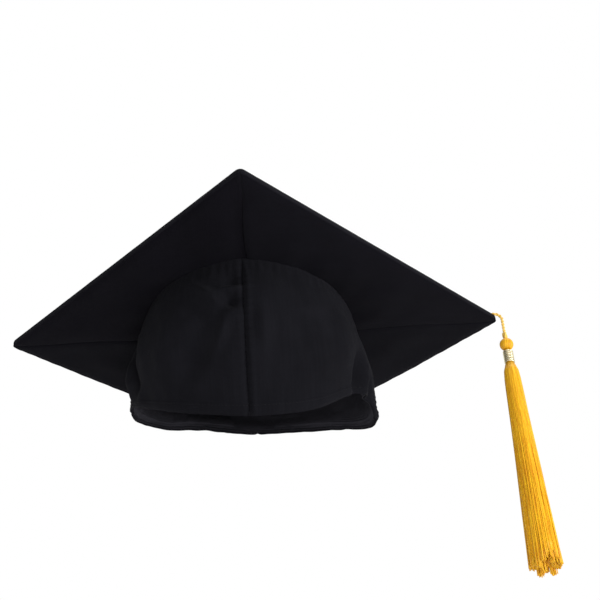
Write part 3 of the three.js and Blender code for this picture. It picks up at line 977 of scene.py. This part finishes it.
def stitch_row(name, first, last, level, count):
    """A row of short stitches that follows the cloth."""
    tubes = []
    edges = np.linspace(first, last, count + 1)
    for a, b in zip(edges[:-1], edges[1:]):
        angles = np.radians(np.linspace(a + 0.2 * (b - a), b - 0.12 * (b - a), len(STITCH_BOW)))
        line = crown_grid(angles, np.array([level]))[0][:, 0]
        outward = line[2] - (*CROWN_MIDDLE[:2], line[2, 2])
        outward /= np.linalg.norm(outward)
        tubes.append(tube_data(line + outward * np.array(STITCH_BOW)[:, None], STITCH_RADIUS, 6))
    made = joined_tubes(name, tubes, stitch_thread)
    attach(made, "cap")


stitch_row("front_hem_stitches", -85, 85, HEM_STITCHES, 110)
stitch_row("casing_stitches_upper", 96, 264, CASING_STITCHES - 0.002, 96)

# Button

DOME_RINGS = 21
TURNED_RINGS = 4
BUTTON_SIDES = 144
BUTTON_WALL = 0.45
# How far each turned ring lies inside the last and below it
TURN_IN, TURN_DOWN = 0.45, 0.12
PLEAT_DEPTH = 0.016
PLEAT_COUNT = 24


def button_cloth():
    """Cloth drawn over the domed button, with small pleats where it turns under the rim."""
    low, high = (Vector(v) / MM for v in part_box("button_cover"))
    radius = (high.x - low.x) / 2
    height = high.z - low.z
    sides = BUTTON_SIDES
    angles = TAU * np.arange(sides) / sides
    rises = (math.pi / 2) * (1 - np.arange(1, DOME_RINGS + 1) / DOME_RINGS)
    profile = [(radius * math.cos(rise), height * math.sin(rise)) for rise in rises]
    profile += [(radius - TURN_IN * k, -TURN_DOWN * k) for k in range(1, TURNED_RINGS + 1)]
    pleats = PLEAT_DEPTH * np.sin(angles * PLEAT_COUNT + np.sin(angles * 5))
    points, uvs = [[(0, 0, low.z + height)]], [[(0, 0)]]
    for out, up in profile:
        reach = out * (1 + pleats * smoothstep(out, radius * 0.75, radius))
        level = low.z + up + 0 * angles
        points.append(np.stack([reach * np.cos(angles), reach * np.sin(angles), level], 1))
        uvs.append(np.stack([out * np.cos(angles), out * np.sin(angles)], 1))
    faces = ring_faces(len(profile), sides, start=1)
    faces += [(0, 1 + s, 1 + (s + 1) % sides) for s in range(sides)]
    made = mesh_object("button_cloth", np.concatenate(points), faces, np.concatenate(uvs), top_cloth)
    tidy_normals(made)
    thicken(made, BUTTON_WALL)
    return made


add_cap_piece(button_cloth(), "button_cover")

# Tassel

BALL_THREADS = 46
BALL_THREAD_INSET = 0.42
# How far the head's threads stop from straight up and from straight down, in radians
BALL_TOP_GAP, BALL_NECK_GAP = 0.16, 0.42
BALL_TWIST = 0.25
WIRE_RADIUS = 0.52
WIRE_TURNS = 7
WIRE_STEPS = 26
NECK_THREADS = 34
# How far out the neck's threads lie, in turn
NECK_REACHES = (1.75, 2.15)
NECK_THREAD_RADIUS = 0.3
NECK_CORE_RADIUS = 1.7
SKIRT_TOP_RADIUS = 5.4
SKIRT_END_RADIUS = 10.6
THREAD_RADIUS = 0.34
# How far out each layer of a tuft hangs, as a share of the skirt's reach, and how many threads it has
TUFT_LAYERS = ((1.0, 10), (0.94, 8), (0.8, 6), (0.6, 5))
CORE_THREADS = 36
# The turn from clump to clump of the threads' tips, in radians
TIP_STEP = 0.45
# Where the skirt's end has a notch, in radians round it, how wide it is in radians and how deep
NOTCH_TURN, NOTCH_WIDTH, NOTCH_DEPTH = math.radians(278), 0.16, 9.0


def round_tassel(reach, turn, z):
    """Points about the tassel's axis."""
    return np.stack([DROP_X + reach * np.cos(turn), reach * np.sin(turn), z], 1)


def thread_ball():
    """The head: threads drawn over a bead from its top to its neck."""
    radius = BALL_RADIUS - BALL_THREAD_INSET
    tubes = []
    for k in range(BALL_THREADS):
        turn = TAU * (k + rng.uniform(-0.2, 0.2)) / BALL_THREADS
        rise = np.linspace(math.pi / 2 - BALL_TOP_GAP, -math.pi / 2 + BALL_NECK_GAP, 16)
        sway = turn + BALL_TWIST * (rise - rise[0]) + 0.02 * rng.normal()
        path = round_tassel(radius * np.cos(rise), sway, BALL_Z + radius * np.sin(rise))
        width = 0.12 + 0.34 * np.cos(rise) + 0.02 * rng.normal()
        tubes.append(tube_data(path, np.maximum(width, 0.12), 7))
    return joined_tubes("tassel_head_threads", tubes, gold_thread)


def collar_coil():
    """The collar: round wire wound close on the neck."""
    top, end = COLLAR_TOP - WIRE_RADIUS, COLLAR_END + WIRE_RADIUS
    t = np.linspace(0, 1, WIRE_TURNS * WIRE_STEPS)
    path = round_tassel(COLLAR_RADIUS - WIRE_RADIUS, TAU * WIRE_TURNS * t, top + (end - top) * t)
    return joined_tubes("collar_coil", [tube_data(path, WIRE_RADIUS, 10)], collar_wire)


def neck_threads():
    """Threads drawn through the collar round a packed middle."""
    levels = np.linspace(COLLAR_TOP + 0.9, COLLAR_END - 0.5, 8)
    tubes = []
    for k in range(NECK_THREADS):
        turn = TAU * k / NECK_THREADS + 0 * levels
        path = round_tassel(NECK_REACHES[k % 2], turn, levels)
        tubes.append(tube_data(path, NECK_THREAD_RADIUS, 6))
    tubes.append(tube_data(round_tassel(0, 0 * levels, levels), NECK_CORE_RADIUS, 12))
    return joined_tubes("neck_threads", tubes, gold_thread)


def skirt_reach(down):
    """How far out the skirt is, from its drawn-in top to its end."""
    shoulder = 1 - 0.45 * np.exp(-down * 34)
    return (SKIRT_TOP_RADIUS + (SKIRT_END_RADIUS - SKIRT_TOP_RADIUS) * down ** 1.3) * shoulder


def tip_trim(turn):
    """How much shorter the threads there are: clumps cut unevenly, with a notch between two of them."""
    clump = round(turn / TIP_STEP)
    trim = 1.6 + 1.6 * math.sin(2.7 * clump) + 1.2 * math.sin(5.3 * clump + 1)
    off = (turn - NOTCH_TURN + math.pi) % TAU - math.pi
    return trim + NOTCH_DEPTH * math.exp(-((off / NOTCH_WIDTH) ** 2))


def skirt_thread(turn, share):
    """One thread from the neck to its tip: share is how far out it hangs, from 0 to 1."""
    length = SKIRT_TOP - SKIRT_END - 1.5 - tip_trim(turn) + 0.4 * rng.normal()
    clump = TIP_STEP * round(turn / TIP_STEP)
    levels = np.linspace(0, 1, 24)
    phase, size = rng.uniform(0, TAU), rng.uniform(0.05, 0.22)
    angle = turn + 0.22 * (clump - turn) * levels ** 3 + 0.03 * rng.normal() * levels
    angle = angle + 0.03 * np.sin(levels * 7 + phase)
    wobble = size * np.sin(levels * rng.uniform(6, 12) + phase) * levels ** 0.7
    reach = share * (skirt_reach(levels) - 0.35) + wobble * share
    path = round_tassel(reach, angle, SKIRT_TOP + 0.5 - length * levels)
    return tube_data(path, THREAD_RADIUS * (1 + 0.08 * rng.normal()), 6, rng.uniform(0, TAU))


def tuft_body(turn, width):
    """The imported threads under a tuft's surface, as one solid wedge that stops short of the tips."""
    rows, steps = 22, 5
    ring = 2 * steps
    length = SKIRT_TOP - SKIRT_END - 7.0 - tip_trim(turn)
    angles = np.linspace(turn - width / 2, turn + width / 2, steps)
    outline = [(a, 1.0) for a in angles] + [(a, 0.4) for a in angles[::-1]]
    points, uvs = [], []
    for r in range(rows):
        down = r / (rows - 1)
        reach = skirt_reach(np.array(down)) - 0.75
        z = SKIRT_TOP - 0.2 - length * down
        for angle, part in outline:
            points.append((DROP_X + part * reach * math.cos(angle), part * reach * math.sin(angle), z))
            uvs.append((-z, part * reach * angle))
    faces = ring_faces(rows, ring) + end_caps(rows, ring)
    return np.array(points), faces, np.array(uvs, dtype=float)


def core_body():
    """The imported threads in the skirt's middle, as one solid that stops well short of the tips."""
    levels = np.linspace(0, 1, 22)
    z = SKIRT_TOP - 0.2 - (SKIRT_TOP - SKIRT_END - 18.0) * levels
    return tube_data(round_tassel(0, 0 * z, z), 0.4 * skirt_reach(levels) - 0.5, 16)


def skirt():
    """Threads hung in tufts, thickest at the outside, round a bundle in the middle."""
    made = []
    step = TAU / TUFT_COUNT
    for k in range(TUFT_COUNT):
        tubes = [tuft_body(k * step, step * 0.94)]
        for share, count in TUFT_LAYERS:
            for i in range(count):
                turn = k * step + step * ((i + 0.5 + 0.3 * rng.uniform(-1, 1)) / count - 0.5)
                tubes.append(skirt_thread(turn, share + 0.015 * rng.normal()))
        made.append(joined_tubes(f"tuft_threads_{k + 1:02d}", tubes, gold_thread))
    tubes = [core_body()]
    for _ in range(CORE_THREADS):
        tubes.append(skirt_thread(rng.uniform(0, TAU), 0.05 + 0.4 * math.sqrt(rng.uniform())))
    made.append(joined_tubes("skirt_core_threads", tubes, gold_thread))
    return made


def add_tassel_piece(made, node_name):
    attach(made, "tassel")
    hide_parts(node_name)


add_tassel_piece(thread_ball(), "tassel_head")
add_tassel_piece(collar_coil(), "wire_collar")
add_tassel_piece(neck_threads(), "neck_bundle")
*tufts, skirt_core = skirt()
for number, tuft in enumerate(tufts, 1):
    add_tassel_piece(tuft, f"skirt_tuft_{number:02d}")
add_tassel_piece(skirt_core, "skirt_core")

# Carried-over frame pieces

CARRIED = {
    "stiffener_board": card,
    "button_back_plate": steel,
    "button_shank": steel,
    "shank_washer": steel,
    "button_core": wood,
    "head_bead": wood,
}
for node_name, material in CARRIED.items():
    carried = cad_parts[node_name]
    for place in carried.material_slots:
        place.material = material

# Floor, world and lights, in metres

FLOOR_Z = -1.3
FLOOR_REACH = 30.0
# How the world's strength rises, by how far a direction points to the back
WORLD_SHADES = {"From Min": -0.4, "From Max": 0.45, "To Min": 0.5, "To Max": 1.0}


def add_floor():
    corners = [(x * FLOOR_REACH, y * FLOOR_REACH, FLOOR_Z) for x, y in ((-1, -1), (1, -1), (1, 1), (-1, 1))]
    mesh = bpy.data.meshes.new("floor")
    mesh.from_pydata(corners, [], [(0, 1, 2, 3)])
    floor = bpy.data.objects.new("floor", mesh)
    bpy.context.collection.objects.link(floor)
    material, _ = new_material("pale_floor", (0.9, 0.9, 0.9), 0.9)
    mesh.materials.append(material)


def add_light(name, place, aim, size, power):
    data = bpy.data.lights.new(name, "AREA")
    data.size = size
    data.energy = power
    light = bpy.data.objects.new(name, data)
    light.location = place
    direction = Vector(aim) - Vector(place)
    light.rotation_euler = direction.to_track_quat("-Z", "Y").to_euler()
    bpy.context.collection.objects.link(light)


def add_world():
    """White behind the cap, softer grey on the side the picture is taken from."""
    world = bpy.data.worlds.new("studio")
    world.use_nodes = True
    background = world.node_tree.nodes["Background"]
    background.inputs["Color"].default_value = (1, 1, 1, 1)
    direction = node(world, "ShaderNodeSeparateXYZ")
    shade = node(world, "ShaderNodeMapRange", interpolation_type="SMOOTHSTEP", **WORLD_SHADES)
    link(world, node(world, "ShaderNodeTexCoord").outputs["Generated"], direction.inputs["Vector"])
    link(world, direction.outputs["Y"], shade.inputs["Value"])
    link(world, shade.outputs["Result"], background.inputs["Strength"])
    bpy.context.scene.world = world


add_floor()
add_world()
add_light("key", (1.15, -0.75, -0.2), (0.0, 0.0, -0.05), 0.35, 14)
add_light("front", (0.3, -1.3, -0.88), (0, 0.05, -0.03), 0.4, 10)
add_light("top", (0.3, -0.3, 1.4), (0, 0, 0), 1.0, 10)
bpy.context.scene.view_settings.view_transform = "Standard"

bpy.context.view_layer.update()
